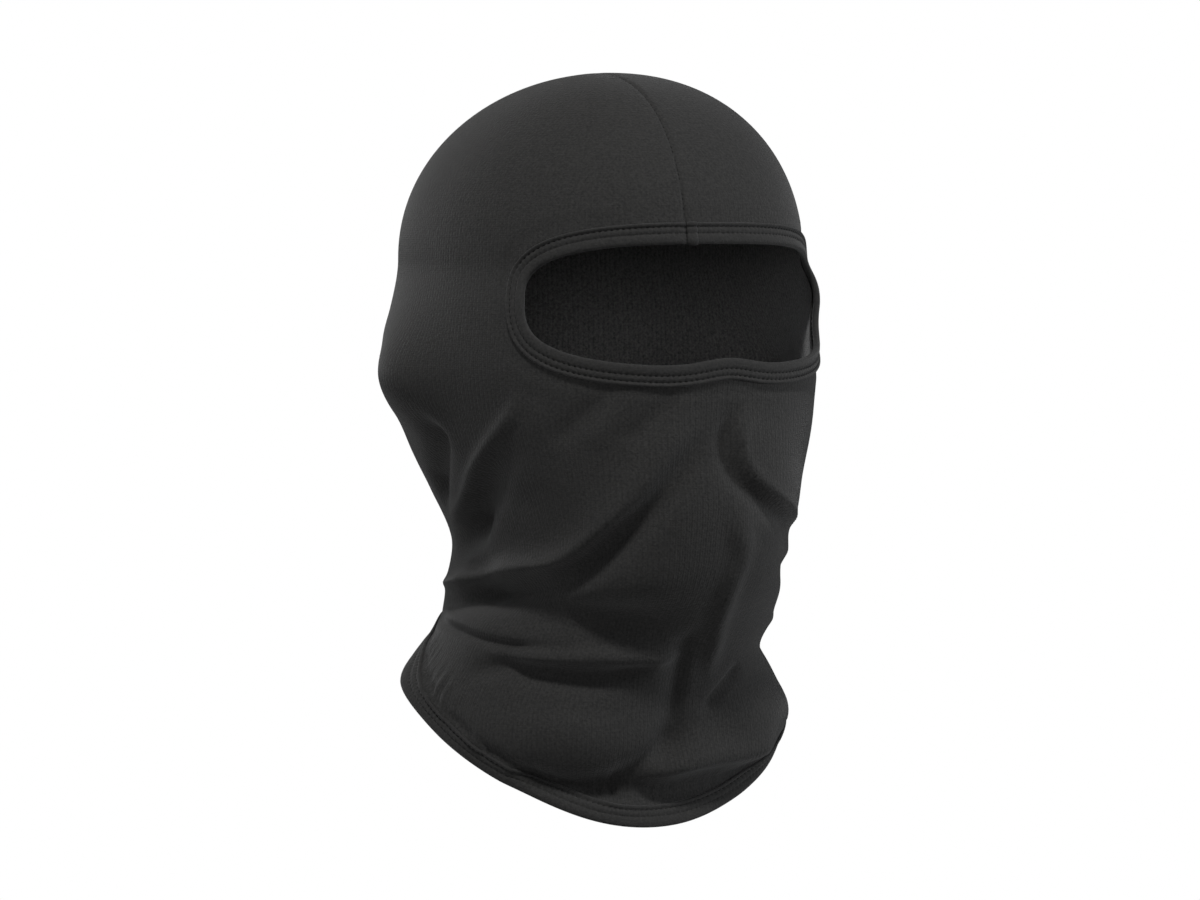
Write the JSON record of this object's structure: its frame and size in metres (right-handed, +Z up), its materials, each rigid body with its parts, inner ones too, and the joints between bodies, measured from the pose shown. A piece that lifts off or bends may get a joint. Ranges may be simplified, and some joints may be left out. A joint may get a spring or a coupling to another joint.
{
  "type": "balaclava",
  "caption": "Stretch-knit hood that covers the head, face and neck, with one eye opening and a longer front bib; bound edges and one crown seam.",
  "frame": {"origin": "the inside of the crown, the point by which the hood hangs on the head", "axes": "+Z up, the face looks to -Y, the wearer's right is -X"},
  "size_m": [0.1932, 0.2053, 0.3127],
  "materials": {
    "cloth": "matt black stretch knit with a faint vertical rib",
    "binding": "the same knit folded into a raised band",
    "thread": "black sewing thread, slightly glossy"
  },
  "bodies": {
    "root": {"hood_cloth": "cloth", "crown_seam_thread": "thread", "crown_seam_looper": "thread", "eye_binding": "binding", "eye_stitch_inner": "thread", "eye_stitch_outer": "thread", "eye_looper": "thread", "eye_join_stitch": "thread", "neck_binding": "binding", "neck_stitch_lower": "thread", "neck_stitch_upper": "thread", "neck_looper": "thread", "neck_join_stitch": "thread"}
  },
  "joints": []
}
